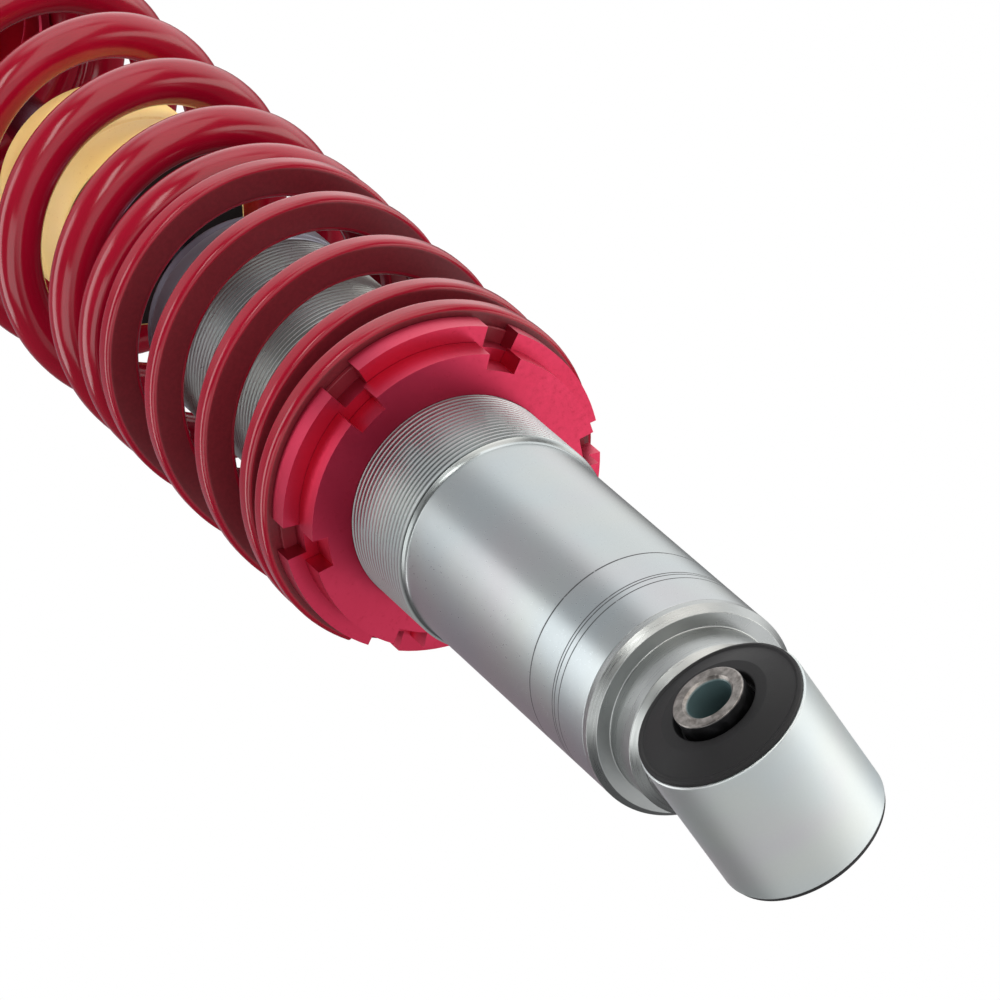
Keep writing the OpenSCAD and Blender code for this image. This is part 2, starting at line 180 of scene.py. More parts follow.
def thread_rows(major, minor, pitch, z0, z1, r0, r1):
    """Rows of a right-hand thread from z0 to z1, fading into the radii r0 and r1, and their shift."""
    turns = math.ceil((z1 - z0) / pitch) + 1
    shape = ((0.0, minor), (0.2, minor), (0.44, major), (0.72, major), (0.96, minor))

    def row_at(height, radius):
        def row(angle):
            z = min(max(z0 + pitch * (height + angle / TURN), z0), z1)
            low = min(1, (z - z0) / (0.6 * pitch))
            high = min(1, (z1 - z) / (0.4 * pitch))
            r = r0 + (radius - r0) * low
            return r1 + (r - r1) * high, z

        return row

    return [row_at(k - 1 + part, radius) for k in range(turns + 1) for part, radius in shape], len(shape)


def threaded(name, below, thread, above, segments=160):
    """A turned solid with a thread in its outline. below and above are (r, z, corner radius) points."""
    rows, lead = thread
    first, last = round_corners(below, closed=False), round_corners(above, closed=False)
    shift = {}
    for k in range(len(rows)):
        shift[len(first) + k] = len(first) + min(k + lead, len(rows) - 1)
    verts, faces = skin(first + rows + last, segments, True, shift)
    return finish_mesh(name, verts, faces, 30)


def hex_rows(flats, z0, z1, bore):
    """Rows of a hexagonal nut from z0 to z1, with its corners and its bore chamfered."""
    inside = flats / 2
    face = inside * 0.97
    corner_slope = 0.55
    edge = 0.7

    def corner(angle):
        return inside / math.cos((angle + TURN / 12) % (TURN / 6) - TURN / 12)

    def drop(angle):
        return (corner(angle) - face) * corner_slope

    rows = [(bore + edge, z0), (face, z0)]
    rows.append(lambda a: (corner(a), z0 + drop(a)))
    rows.append(lambda a: (corner(a), z1 - drop(a)))
    rows += [(face, z1), (bore + edge, z1), (bore, z1 - edge), (bore, z0 + edge)]
    return rows


def coil(name, section, mean_r, height, turns, tip, z0, length, steps):
    """A wire wound round Z. section is (radial, axial) points in mm, and height(u) the centre line's
    height in mm after u turns, above z0. The ends are ground flat at z0 and z0 + length."""
    rings = round(turns * steps) + 1
    sides = len(section)
    verts = []
    for k in range(rings):
        u = k / steps
        angle = math.radians(tip) + TURN * u
        middle = height(u)
        for radial, axial in section:
            r = mean_r + radial
            z = min(max(middle + axial, 0), length) + z0
            verts.append((r * MM * math.cos(angle), r * MM * math.sin(angle), z * MM))
    faces = []
    for k in range(rings - 1):
        for i in range(sides):
            j = (i + 1) % sides
            faces.append((k * sides + i, k * sides + j, (k + 1) * sides + j, (k + 1) * sides + i))
    faces.append(tuple(range(sides)))
    faces.append(tuple(range((rings - 1) * sides, rings * sides)))
    return finish_mesh(name, verts, faces, 40)


def climb(u, turns, ease):
    """Height climbed after u turns, in pitches: flat, steepening, even, easing off, flat."""
    dead0, grow0, grow1, dead1 = ease
    full = turns - dead0 - dead1 - grow0 / 2 - grow1 / 2
    last = turns - dead1
    if u < dead0:
        return 0
    if u < dead0 + grow0:
        return (u - dead0) ** 2 / (2 * grow0)
    if u < last - grow1:
        return u - dead0 - grow0 / 2
    if u < last:
        return full - (last - u) ** 2 / (2 * grow1)
    return full


def box_section(width, height, corner):
    """A rounded rectangle about the origin."""
    x, y = width / 2, height / 2
    return round_corners([(x, y, corner), (-x, y, corner), (-x, -y, corner), (x, -y, corner)])


def part_way(first, second, share):
    """A ring's section between two others. Each is a list of (r, z, angle) points."""
    return [(a[0], a[1], a[2] * (1 - share) + b[2] * share) for a, b in zip(first, second)]


def slotted_ring(name, profile, floor_r, slot_w, slots, turn, bevel):
    """A ring with spanner slots. profile is the closed (r, z) outline of a lug, and every point outside
    floor_r moves in to it across a slot, to the height of the point's third number if it has one."""
    lug_steps, slot_steps = 14, 4
    sections = []
    for i in range(slots):
        centre = math.radians(turn) + TURN * i / slots
        following = centre + TURN / slots
        for side in (1, -1):
            pair = []
            for cut in (True, False):
                ring = []
                for r, z, *lower in profile:
                    reach = max(r, floor_r)
                    half = math.asin(slot_w / 2 / reach)
                    middle = centre if side == 1 else following
                    if cut:
                        r, z = min(r, floor_r), lower[0] if lower else z
                    ring.append((r, z, middle + side * half))
                pair.append(ring)
            if side == 1:
                sections += pair
                last_wall = pair[1]
            else:
                first_wall = pair[1]
                for k in range(1, lug_steps):
                    sections.append(part_way(last_wall, first_wall, k / lug_steps))
                sections += [pair[1], pair[0]]
                opposite = [
                    (point[0], point[1], following + math.asin(slot_w / 2 / max(point[0], floor_r)))
                    for point in pair[0]
                ]
                for k in range(1, slot_steps):
                    sections.append(part_way(pair[0], opposite, k / slot_steps))
    verts = [(r * MM * math.cos(a), r * MM * math.sin(a), z * MM) for ring in sections for r, z, a in ring]
    width, total = len(profile), len(sections)
    faces = []
    for s in range(total):
        for i in range(width):
            j, t = (i + 1) % width, (s + 1) % total
            faces.append((s * width + i, s * width + j, t * width + j, t * width + i))
    piece = finish_mesh(name, verts, faces, 30)
    edge = piece.modifiers.new("edge", "BEVEL")
    edge.width = bevel * MM
    edge.segments = 2
    edge.limit_method = "ANGLE"
    edge.angle_limit = math.radians(40)
    edge.use_clamp_overlap = True
    bake_modifiers(piece)
    piece.data.set_sharp_from_angle(angle=math.radians(50))
    return piece


def place(piece, material, body, slot, *replaced, flat=True):
    """Material, body and the CAD nodes it stands for; slot is not used. flat keeps broad faces evenly shaded.
    """
    piece.data.materials.clear()
    piece.data.materials.append(material)
    if flat:
        piece.modifiers.new("even_normals", "WEIGHTED_NORMAL").keep_sharp = True
    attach(piece, body)
    if replaced:
        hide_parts(*replaced)
    return piece


# ------------------------------------------------------------------ material tools


class Surface:
    """A node material in the making."""

    def __init__(self, name):
        self.material = bpy.data.materials.new(name)
        self.material.use_nodes = True
        self.tree = self.material.node_tree
        self.shader = self.tree.nodes["Principled BSDF"]
        self.place = self.add("ShaderNodeTexCoord").outputs["Object"]

    def add(self, kind, **settings):
        node = self.tree.nodes.new(kind)
        for key, value in settings.items():
            setattr(node, key, value)
        return node

    def feed(self, socket, value):
        """Links a node's output to a socket, or sets the socket to a plain value."""
        if isinstance(value, bpy.types.NodeSocket):
            self.tree.links.new(value, socket)
        else:
            socket.default_value = value

    def set(self, **values):
        """Sets the shader's inputs by name, with _ for each space."""
        for key, value in values.items():
            self.feed(self.shader.inputs[key.replace("_", " ")], value)
        return self

    def stretched(self, scale):
        """The object's coordinates, scaled by three factors."""
        node = self.add("ShaderNodeMapping")
        self.feed(node.inputs["Vector"], self.place)
        node.inputs["Scale"].default_value = scale
        return node.outputs["Vector"]

    def noise(self, scale, detail=3.0, rough=0.5, vector=None):
        node = self.add("ShaderNodeTexNoise")
        self.feed(node.inputs["Vector"], vector or self.place)
        node.inputs["Scale"].default_value = scale
        node.inputs["Detail"].default_value = detail
        node.inputs["Roughness"].default_value = rough
        return node.outputs["Fac"]

    def cells(self, scale):
        node = self.add("ShaderNodeTexVoronoi")
        self.feed(node.inputs["Vector"], self.place)
        node.inputs["Scale"].default_value = scale
        return node.outputs["Distance"]

    def maths(self, kind, a, b=0.0):
        node = self.add("ShaderNodeMath", operation=kind)
        for socket, value in zip(node.inputs, (a, b)):
            self.feed(socket, value)
        return node.outputs[0]

    def remap(self, value, low, high, to_low=0.0, to_high=1.0):
        node = self.add("ShaderNodeMapRange")
        for socket, item in zip(node.inputs, (value, low, high, to_low, to_high)):
            self.feed(socket, item)
        return node.outputs["Result"]

    def blend(self, share, first, second):
        node = self.add("ShaderNodeMix", data_type="RGBA")
        self.feed(node.inputs["Factor"], share)
        self.feed(node.inputs["A"], first)
        self.feed(node.inputs["B"], second)
        for socket in node.outputs:
            if socket.type == "RGBA":
                return socket

    def axis(self, letter):
        node = self.add("ShaderNodeSeparateXYZ")
        self.feed(node.inputs[0], self.place)
        return node.outputs[letter]

    def radius(self, first, second):
        """The distance from the third axis, in metres."""
        squares = [self.maths("MULTIPLY", socket, socket) for socket in (self.axis(first), self.axis(second))]
        return self.maths("SQRT", self.maths("ADD", *squares))

    def facing_up(self):
        """How far the surface faces straight up, from -1 to 1."""
        node = self.add("ShaderNodeSeparateXYZ")
        self.feed(node.inputs[0], self.add("ShaderNodeNewGeometry").outputs["Normal"])
        return node.outputs["Z"]

    def band(self, value, middle, width, soft=0.00004):
        """1 inside a band round middle, 0 outside it."""
        away = self.maths("ABSOLUTE", self.maths("SUBTRACT", value, middle))
        return self.remap(away, width / 2 - soft, width / 2 + soft, 1.0, 0.0)

    def bump(self, *layers):
        """Bumps from (height, depth in metres) layers, one on top of another."""
        normal = None
        for height, depth in layers:
            node = self.add("ShaderNodeBump")
            node.inputs["Strength"].default_value = 1.0
            node.inputs["Distance"].default_value = depth
            self.feed(node.inputs["Height"], height)
            if normal:
                self.feed(node.inputs["Normal"], normal)
            normal = node.outputs["Normal"]
        return self.set(Normal=normal)

    def turned(self):
        """Directs the highlights of a surface turned on a lathe about Z."""
        node = self.add("ShaderNodeTangent", direction_type="RADIAL", axis="Z")
        return self.set(Tangent=node.outputs[0])


def tint(r, g, b):
    """A display colour from 0 to 255 as a linear one."""
    def linear(v):
        v /= 255
        return v / 12.92 if v <= 0.04045 else ((v + 0.055) / 1.055) ** 2.4

    return (linear(r), linear(g), linear(b), 1.0)


# ------------------------------------------------------------------ materials


def spring_paint(name, flat_wire=False):
    """Gloss red powder coat. flat_wire gives the wire's flat faces a duller, ground look, darkened further as
    painted shade for the narrow gaps between the turns.
    """
    s = Surface(name)
    cloud = s.noise(60, 2)
    fine = s.noise(1500, 2)
    colour = s.blend(s.remap(cloud, 0.35, 0.65), (0.255, 0.0022, 0.0145, 1), (0.285, 0.0028, 0.0175, 1))
    colour = s.blend(s.remap(fine, 0.6, 0.8), colour, (0.24, 0.0024, 0.013, 1))
    rough = s.remap(cloud, 0.3, 0.7, 0.13, 0.19)
    if flat_wire:
        face = s.remap(s.maths("ABSOLUTE", s.facing_up()), 0.955, 0.985)
        grain = s.noise(1100, 3, 0.65)
        # The flat faces' darker brown is partly the ground finish and partly painted shade between the
        # stacked turns.
        ground_and_shaded = s.blend(s.remap(grain, 0.35, 0.65), (0.11, 0.007, 0.012, 1), (0.145, 0.0095, 0.016, 1))
        colour = s.blend(face, colour, ground_and_shaded)
        rough = s.maths("ADD", rough, s.maths("MULTIPLY", face, 0.25))
    s.set(Base_Color=colour, Roughness=rough, Metallic=0.0)
    s.set(Specular_IOR_Level=0.36, IOR=1.5)
    s.bump((s.noise(330, 2), 0.000015), (fine, 0.000002))
    return s.material


def red_anodised(name):
    """Satin red anodising over fine cutter marks."""
    s = Surface(name)
    cloud = s.noise(45, 3)
    cutter = s.noise(900, 3, 0.6, s.stretched((1, 1, 3)))
    colour = s.blend(s.remap(cloud, 0.35, 0.65), (0.46, 0.022, 0.062, 1), (0.5, 0.028, 0.074, 1))
    colour = s.blend(s.remap(cutter, 0.6, 0.8), colour, (0.4, 0.016, 0.048, 1))
    s.set(Base_Color=colour, Metallic=1.0, Roughness=s.remap(cutter, 0.3, 0.7, 0.34, 0.42))
    s.set(Specular_IOR_Level=0.5, Coat_Weight=0.2, Coat_Roughness=0.3)
    s.bump((cutter, 0.000012), (s.noise(3500, 2), 0.000004))
    return s.material


def zinc_plate(name, level, low_rough, high_rough, printed=False):
    """Bright zinc over steel, with its faint blue, yellow and pink clouds. level is how bright it is, and
    printed adds plain lines and the thread's darker roots."""
    s = Surface(name)
    cloud = s.noise(26, 2, 0.5)
    other = s.noise(38, 2, 0.5, s.stretched((1, 1.4, 0.6)))
    fine = s.noise(1600, 3, 0.6)
    casts = ((0.92, 1.01, 1.04), (0.98, 1.03, 1.0), (0.97, 0.97, 1.0))
    blue, yellow, pink = (tuple(level * v for v in cast) + (1.0,) for cast in casts)
    colour = s.blend(s.remap(cloud, 0.38, 0.62), blue, yellow)
    colour = s.blend(s.remap(other, 0.5, 0.75), colour, pink)
    rough = s.remap(fine, 0.3, 0.7, low_rough, high_rough)
    s.set(Metallic=1.0)
    if printed:
        z = s.axis("Z")
        ink = None
        for middle, width in PRINTED_LINES:
            line = s.band(z, middle * MM, width * MM)
            ink = line if ink is None else s.maths("MAXIMUM", ink, line)
        worn = s.remap(s.noise(900, 3, 0.7), 0.28, 0.38)
        ink = s.maths("MULTIPLY", ink, worn)
        colour = s.blend(ink, colour, tint(30, 30, 34))
        rough = s.maths("ADD", rough, s.maths("MULTIPLY", ink, 0.2))
        s.set(Metallic=s.maths("SUBTRACT", 1.0, ink))
        deep = s.remap(s.radius("X", "Y"), 0.02575, 0.02625, 1.0, 0.0)
        threaded_part = s.remap(z, THREAD_FOOT * MM, (THREAD_FOOT + 0.6) * MM)
        root = s.maths("MULTIPLY", deep, threaded_part)
        colour = s.blend(root, colour, (0.13, 0.135, 0.135, 1))
    s.set(Base_Color=colour, Roughness=rough, Specular_IOR_Level=0.5)
    s.bump((fine, 0.000004), (s.noise(120, 2), 0.00002))
    return s.material


def turned_metal(name, colour_a, colour_b, rough, groove=0.000006, anisotropic=0.6):
    """Metal turned on a lathe: fine rings in the surface and long soft highlights round it."""
    s = Surface(name)
    rings = s.noise(1.0, 3, 0.7, s.stretched((60, 60, 5200)))
    cloud = s.noise(90, 3, 0.6)
    s.set(Base_Color=s.blend(s.remap(cloud, 0.35, 0.65), colour_a, colour_b), Metallic=1.0)
    s.set(Roughness=s.remap(rings, 0.3, 0.7, rough * 0.8, rough * 1.25), Anisotropic=anisotropic)
    s.turned()
    s.bump((rings, groove))
    return s.material


def rubber(name):
    """Dull black rubber with a fine grain."""
    s = Surface(name)
    fine = s.noise(2600, 3, 0.6)
    cloud = s.noise(120, 3)
    colour = s.blend(s.remap(cloud, 0.35, 0.65), tint(15, 15, 16), tint(20, 19, 21))
    s.set(Base_Color=colour, Roughness=s.remap(cloud, 0.3, 0.7, 0.56, 0.66), Specular_IOR_Level=0.3)
    s.bump((fine, 0.00002), (cloud, 0.00006))
    return s.material


def sleeve_steel(name):
    """Stained grey steel for the sleeve. Its bore is painted a flat teal grey without metal as a painted
    reflection, and its sides are painted dark grey as painted shade.
    """
    s = Surface(name)
    patch = s.noise(520, 4, 0.65)
    stain = s.noise(300, 3, 0.6)
    colour = s.blend(s.remap(patch, 0.38, 0.62), tint(112, 108, 104), tint(152, 147, 143))
    colour = s.blend(s.remap(stain, 0.58, 0.72), colour, tint(90, 84, 79))
    radius = s.radius("X", "Z")
    # Painted reflection: the bore is painted a flat teal grey and made non-metal, standing in for the light
    # seen deep in the hole.
    bore = s.remap(radius, (SLEEVE_BORE_R + 0.1) * MM, (SLEEVE_BORE_R + 0.35) * MM, 1.0, 0.0)
    # Painted shade: the sleeve's outer side is painted dark grey.
    side = s.remap(radius, (SLEEVE_R - 0.2) * MM, SLEEVE_R * MM)
    colour = s.blend(bore, colour, tint(70, 90, 92))
    colour = s.blend(side, colour, tint(60, 60, 62))
    s.set(Base_Color=colour, Roughness=s.remap(patch, 0.35, 0.65, 0.3, 0.46))
    s.set(Metallic=s.maths("SUBTRACT", 1.0, bore))
    s.bump((patch, 0.00003), (s.noise(2200, 2), 0.00001))
    return s.material


def foam(name):
    """Cream polyurethane with fine pores. Its underside is painted near black as painted shade."""
    s = Surface(name)
    pores = s.cells(1500)
    cloud = s.noise(40, 3)
    open_pore = s.remap(pores, 0.0, 0.34, 1.0, 0.0)
    some = s.remap(s.noise(700, 2), 0.5, 0.62)
    pit = s.maths("MULTIPLY", open_pore, some)
    colour = s.blend(s.remap(cloud, 0.35, 0.65), tint(255, 224, 146), tint(252, 214, 130))
    colour = s.blend(s.maths("MULTIPLY", pit, 0.5), colour, tint(214, 160, 76))
    # Painted shade: faces turned downwards get a near-black colour, more roughness and no subsurface glow.
    shaded_underside = s.remap(s.facing_up(), -0.97, -0.9, 1.0, 0.0)
    colour = s.blend(shaded_underside, colour, tint(14, 12, 12))
    s.set(Base_Color=colour, Specular_IOR_Level=0.4)
    s.set(Subsurface_Weight=s.maths("MULTIPLY", s.maths("SUBTRACT", 1.0, shaded_underside), 0.12))
    s.set(Roughness=s.maths("ADD", s.maths("MULTIPLY", shaded_underside, 0.3), 0.48))
    s.shader.inputs["Subsurface Radius"].default_value = (0.004, 0.0025, 0.001)
    s.shader.inputs["Subsurface Scale"].default_value = 0.6
    s.bump((s.noise(300, 3), 0.00008), (s.maths("SUBTRACT", 1.0, pit), 0.00006))
    return s.material


def plain_metal(name, colour, rough, metallic=1.0):
    """A hidden or plain part's finish, with fine grain."""
    s = Surface(name)
    grain = s.noise(1300, 3, 0.6)
    cloud = s.noise(50, 3)
    darker = tuple(v * 0.88 for v in colour[:3]) + (1.0,)
    s.set(Base_Color=s.blend(s.remap(cloud, 0.35, 0.65), colour, darker), Metallic=metallic)
    s.set(Roughness=s.remap(grain, 0.3, 0.7, rough * 0.88, rough * 1.15))
    s.bump((grain, 0.000008))
    return s.material


# The printed lines' heights and widths, and the sizes that the materials share with the pieces.
PRINTED_LINES = ((61.4, 0.45), (50.6, 0.35), (49.6, 0.35), (47.7, 0.35))
SLEEVE_BORE_R, SLEEVE_R, SLEEVE_HALF = 5.25, 8.5, 25
THREAD_FOOT, THREAD_TOP, THREAD_PITCH, THREAD_R, ROOT_R = 123.9, 247.9, 1.5, 26.5, 25.62

m_spring = spring_paint("spring_paint")
m_flat = spring_paint("flat_wire_paint", flat_wire=True)
m_anodised = red_anodised("red_anodised")
# The tube and the eye wear the same bright zinc. The eye's is set brighter than the tube's (0.52 against
# 0.375) as painted light, for the stronger light on the eye.
m_tube = zinc_plate("tube_zinc", 0.375, 0.27, 0.32, printed=True)
m_eye = zinc_plate("eye_zinc", 0.52, 0.44, 0.5)
m_cap = turned_metal("cap_turned", (0.34, 0.352, 0.348, 1), (0.3, 0.312, 0.31, 1), 0.3)
m_thread = turned_metal("stud_steel", tint(205, 205, 200), tint(190, 190, 186), 0.3)
m_rubber = rubber("bush_rubber")
m_sleeve = sleeve_steel("sleeve_steel")
m_foam = foam("bump_foam")
m_chrome = plain_metal("rod_chrome", tint(122, 120, 140), 0.1)
m_gland = plain_metal("gland_grey", tint(150, 153, 166), 0.4, 0.3)
m_dark_cap = turned_metal("cap_dark", tint(118, 120, 132), tint(106, 108, 120), 0.42, 0.00001, 0.3)
m_plain = plain_metal("plain_steel", tint(196, 196, 192), 0.32)
m_nylon = plain_metal("nylon", tint(112, 10, 28), 0.5, 0.0)
m_sinter = plain_metal("sinter", tint(120, 112, 104), 0.55)
m_bronze = plain_metal("bronze_ptfe", tint(150, 116, 78), 0.45)
m_guide = plain_metal("guide_alloy", tint(186, 188, 190), 0.4)

# ------------------------------------------------------------------ lower eye

EYE_SHIFT, EYE_BORE_R, EYE_R, EYE_HALF = -1.2, 17, 20, 18.7
eye_outline = mirror_outline([(EYE_BORE_R, EYE_HALF, 0.4), (EYE_R, EYE_HALF, 0.5)])
eye_tube = lathe("eye_tube", eye_outline, segments=192, along="y")
place(shifted(eye_tube, y=EYE_SHIFT), m_eye, "damper_body", "zinc_steel", "eye_housing")

rubber_half = [
    (8.6, 19.2, 0.3),
    (9.25, 19.2, 0.4),
    (9.8, 22.25, 0.5),
    (12.6, 22.1, 1.0),
    (17.7, 20.0, 0.6),
    (18.3, 19.75, 0.3),
    (18.8, 20.05, 0.3),
    (19.5, 19.8, 0.4),
    (19.6, 18.9, 0.1),
    (17.0, 18.75, 0.0),
]
eye_rubber = lathe("eye_rubber", mirror_outline(rubber_half), segments=192, along="y")
place(shifted(eye_rubber, y=EYE_SHIFT), m_rubber, "damper_body", "bush_rubber", "eye_bush")

SLEEVE_CHAMFER = 0.8
sleeve_half = [
    (SLEEVE_BORE_R, SLEEVE_HALF - SLEEVE_CHAMFER, 0.2),
    (SLEEVE_BORE_R + SLEEVE_CHAMFER, SLEEVE_HALF, 0.15),
    (SLEEVE_R, SLEEVE_HALF, 0.45),
]
eye_collar = lathe("eye_collar", mirror_outline(sleeve_half), segments=128, along="y")
place(shifted(eye_collar, y=EYE_SHIFT), m_sleeve, "eye_sleeve", "plain_steel", "eye_sleeve")

# ------------------------------------------------------------------ body

cap = lathe(
    "turned_cap",
    [
        (0.0, 16, 0),
        (18.1, 16, 0),
        (18.1, 20.8, 1.2),
        (20.5, 23.4, 0.4),
        (20.5, 32.2, 0.35),
        (23.85, 32.2, 0.25),
        (25.35, 34.2, 0.25),
        (25.35, 35.9, 0.12),
        (23.0, 35.9, 0),
        (23.0, 42.2, 0.3),
        (0.0, 42.2, 0),
    ],
    segments=224,
)
# The cap's foot is cut to sit on the eye's round side.
SADDLE_R, SADDLE_REACH = EYE_R - 0.1, 40
saddle = [(0, -SADDLE_REACH), (SADDLE_R, -SADDLE_REACH), (SADDLE_R, SADDLE_REACH), (0, SADDLE_REACH)]
cutter_verts, cutter_faces = skin(saddle, 128, False)
cutter = finish_mesh("cutter", [(x, z, y) for x, y, z in cutter_verts], cutter_faces)
cut = cap.modifiers.new("cut", "BOOLEAN")
cut.operation, cut.object, cut.solver = "DIFFERENCE", cutter, "EXACT"
bake_modifiers(cap)
bpy.data.objects.remove(cutter)
cap.data.set_sharp_from_angle(angle=math.radians(32))
place(cap, m_cap, "damper_body", "turned_steel", "bottom_cap")

tube = threaded(
    "threaded_tube",
    [(23, 36.05, 0), (25.3, 36.05, 0.15), (25.35, 123.4, 0.2), (ROOT_R, THREAD_FOOT, 0)],
    thread_rows(THREAD_R, ROOT_R, THREAD_PITCH, THREAD_FOOT, THREAD_TOP, ROOT_R, ROOT_R),
    [(25.6, 248, 0), (23, 248, 0)],
    segments=192,
)
place(tube, m_tube, "damper_body", "zinc_steel", "body_tube", flat=False)

gland = lathe(
    "gland_ring",
    [
        (7.2, 248.05, 0),
        (22.9, 248.05, 0),
        (25.7, 248.05, 0.3),
        (26.2, 248.7, 0.3),
        (26.2, 251.5, 0.1),
        (25.8, 251.8, 0.1),
        (25.8, 252.6, 0.1),
        (26.2, 252.9, 0.1),
        (26.2, 262.45, 0.3),
        (7.2, 262.45, 0),
    ],
)
place(gland, m_gland, "damper_body", "grey_gland", "gland_nut")

dust = lathe(
    "dust_ring",
    [
        (6.25, 262.5, 0),
        (25.2, 262.5, 0.15),
        (25.2, 266.6, 0.9),
        (23.6, 268, 0.9),
        (9.5, 268, 0.5),
        (6.8, 266.6, 0.4),
        (6.25, 266.4, 0.1),
    ],
)
place(dust, m_dark_cap, "damper_body", "dark_cap", "dust_cap")

# ------------------------------------------------------------------ platform

SLOTS, SLOT_BEVEL = 6, 0.5
RING_BORE_R, LOCK_FLOOR_R, LOCK_R, LOCK_FOOT, LOCK_TOP = 26.55, 32.65, 36.5, 149.4, 156.5

lock_profile = [(r, LOCK_FOOT) for r in (RING_BORE_R, LOCK_FLOOR_R, LOCK_R)]
lock_profile += [(r, LOCK_TOP) for r in (LOCK_R, LOCK_FLOOR_R, RING_BORE_R)]
lock = slotted_ring("slotted_lock_ring", lock_profile, LOCK_FLOOR_R, 8.3, SLOTS, -97.5, SLOT_BEVEL)
place(lock, m_anodised, "lock_ring", "anodised_red", "lock_ring")

PERCH_FLOOR_R = 35.6
perch_profile = [
    (RING_BORE_R, 156.6),
    (PERCH_FLOOR_R, 156.6),
    (40.5, 156.6),
    (40.5, 162.4, 161.4),
    (39.2, 162.4, 161.4),
    (39.2, 161.4),
    (33.7, 161.4),
    (33.7, 167.4),
    (RING_BORE_R, 167.4),
]
perch = slotted_ring("slotted_platform", perch_profile, PERCH_FLOOR_R, 8.4, SLOTS, -95, SLOT_BEVEL)
place(perch, m_anodised, "perch_ring", "anodised_red", "perch_ring")

washer = lathe("nylon_washer", [(34, 161.5, 0.2), (39, 161.5, 0.2), (39, 162.7, 0.2), (34, 162.7, 0.2)])
place(washer, m_nylon, "spring_platform", "nylon", "slip_washer")

# ------------------------------------------------------------------ springs

# An ease is the turns that lie flat, steepen, ease off and lie flat again. TIP is the angle in degrees
# where both wires begin, and COIL_STEPS the rings of points in a turn.
HELPER_FOOT, HELPER_LEN, HELPER_TURNS, HELPER_T, HELPER_W, HELPER_R = 162.7, 99.3, 4.9, 5.5, 8.8, 42.8
HELPER_CORNER, HELPER_EASE = 1.7, (0.2, 1.6, 1.0, 0.1)
MAIN_FOOT, MAIN_LEN, MAIN_TURNS, MAIN_WIRE, MAIN_MEAN_R, GRIND = 262.0, 200.0, 7.0, 11.6, 37.0, 1.2
MAIN_EASE = (0.19, 0.9, 0.9, 0.19)
TIP, COIL_STEPS, WIRE_SIDES = 152, 120, 28

helper_rise = (HELPER_LEN - HELPER_T) / climb(HELPER_TURNS, HELPER_TURNS, HELPER_EASE)
main_low = MAIN_WIRE / 2 - GRIND
main_rise = (MAIN_LEN - 2 * main_low) / climb(MAIN_TURNS, MAIN_TURNS, MAIN_EASE)


def helper_height(u):
    return HELPER_T / 2 + helper_rise * climb(u, HELPER_TURNS, HELPER_EASE)


def main_height(u):
    return main_low + main_rise * climb(u, MAIN_TURNS, MAIN_EASE)


helper = coil(
    "flat_wire_helper",
    box_section(HELPER_W, HELPER_T, HELPER_CORNER),
    HELPER_R - HELPER_W / 2,
    helper_height,
    HELPER_TURNS,
    TIP,
    HELPER_FOOT,
    HELPER_LEN,
    COIL_STEPS,
)
place(helper, m_flat, "damper_body", "spring_red", "helper_spring")
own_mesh(helper)

wire_angles = [TURN * (i + 0.5) / WIRE_SIDES for i in range(WIRE_SIDES)]
round_section = [(MAIN_WIRE / 2 * math.cos(a), MAIN_WIRE / 2 * math.sin(a)) for a in wire_angles]
main = coil(
    "round_wire_main",
    round_section,
    MAIN_MEAN_R,
    main_height,
    MAIN_TURNS,
    TIP,
    MAIN_FOOT,
    MAIN_LEN,
    COIL_STEPS,
)
place(main, m_spring, "damper_body", "spring_red", "main_spring", flat=False)
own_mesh(main)

# ------------------------------------------------------------------ rod and bump stop

# The stop bulges like a barrel, with one fine groove round it. BARREL is how much smaller its ends are.
BUMP_FOOT, BUMP_TOP, BUMP_R, BARREL = 319.6, 359.0, 26.3, 1.7
GROOVE, GROOVE_DEPTH, GROOVE_HALF = 330.2, 0.45, 1.1
BARREL_STEPS, BUMP_EDGE, BUMP_BORE_R = 120, 0.8, 6.25


def barrel_point(k):
    """A point of the stop's side, some steps up from its foot, as (r, z)."""
    u = k / BARREL_STEPS
    height = BUMP_FOOT + (BUMP_TOP - BUMP_FOOT) * u
    dip = max(0.0, 1 - ((height - GROOVE) / GROOVE_HALF) ** 2)
    return BUMP_R - BARREL * (2 * u - 1) ** 4 - GROOVE_DEPTH * dip**2, height


bump_side = [(*barrel_point(k), 0) for k in range(4, BARREL_STEPS - 3)]
bump_outline = [(BUMP_BORE_R, BUMP_FOOT, 0.3), (*barrel_point(0), BUMP_EDGE), *bump_side]
bump_outline += [(*barrel_point(BARREL_STEPS), BUMP_EDGE), (BUMP_BORE_R, BUMP_TOP, 0.3)]
bump = lathe("moulded_bump_stop", bump_outline, sharp=50)
place(bump, m_foam, "bump_stop", "bump_foam", "bump_stop")

rod = threaded(
    "chromed_rod",
    [
        (0, 176, 0),
        (4.6, 176, 0.4),
        (5.0, 206, 0.1),
        (6.2, 206, 0.3),
        (6.2, 462.4, 0.3),
        (5.0, 462.5, 0.1),
        (4.95, 488, 0),
    ],
    thread_rows(4.98, 4.3, 1.25, 488, 507.2, 4.95, 4.3),
    [(4.2, 507.6, 0.2), (3.6, 508, 0.1), (2.6, 508, 0.1), (2.4, 506.5, 0.1), (0, 506.5, 0)],
    segments=96,
)
place(rod, m_chrome, "rod_assembly", "hard_chrome", "piston_rod", flat=False)

# ------------------------------------------------------------------ top mount

